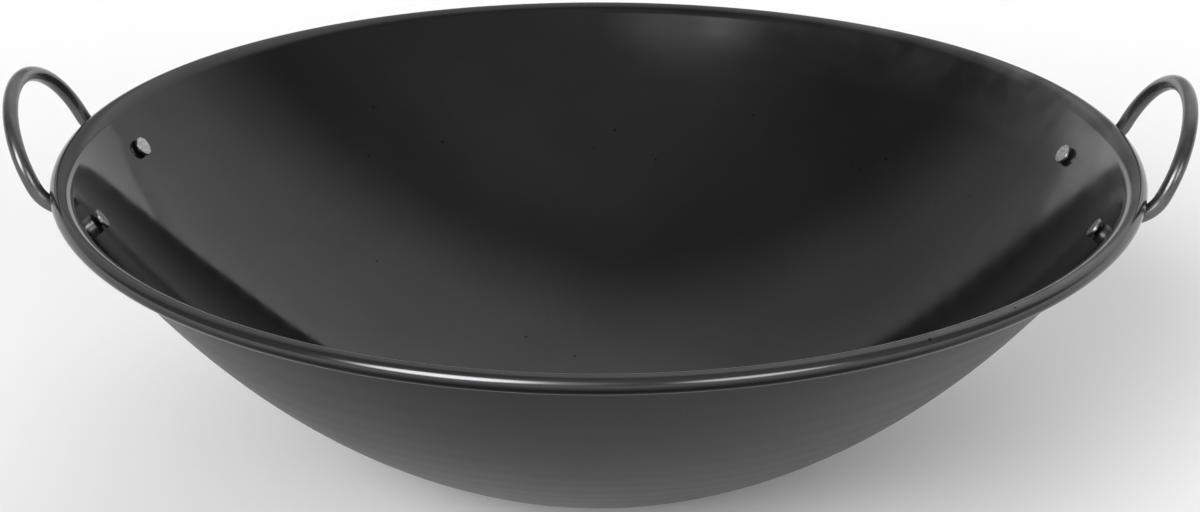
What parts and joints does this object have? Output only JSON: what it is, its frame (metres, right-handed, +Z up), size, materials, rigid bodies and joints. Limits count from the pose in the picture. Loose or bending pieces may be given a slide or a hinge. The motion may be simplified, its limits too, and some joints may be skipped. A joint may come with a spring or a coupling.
{
  "type": "wok",
  "caption": "Large round-bottomed wok of black sheet steel with a rolled, wired rim and riveted loop handles bent from round rod",
  "frame": {"origin": "under the middle of the bowl, on the surface that the wok stands on", "axes": "+Z up, X through the two handles, Y across them; the picture is seen from -Y"},
  "size_m": [0.6076, 0.56, 0.2086],
  "materials": {
    "bowl_steel": "blackened, semi-gloss",
    "wire_steel": "bright drawn",
    "handle_steel": "blackened, satin",
    "rivet_steel": "dull bright steel"
  },
  "bodies": {
    "root": {"bowl": "bowl_steel", "rim_wire": "wire_steel", "left_handle": "handle_steel", "right_handle": "handle_steel", "left_front_rivet": "rivet_steel", "left_rear_rivet": "rivet_steel", "right_front_rivet": "rivet_steel", "right_rear_rivet": "rivet_steel"}
  },
  "joints": []
}
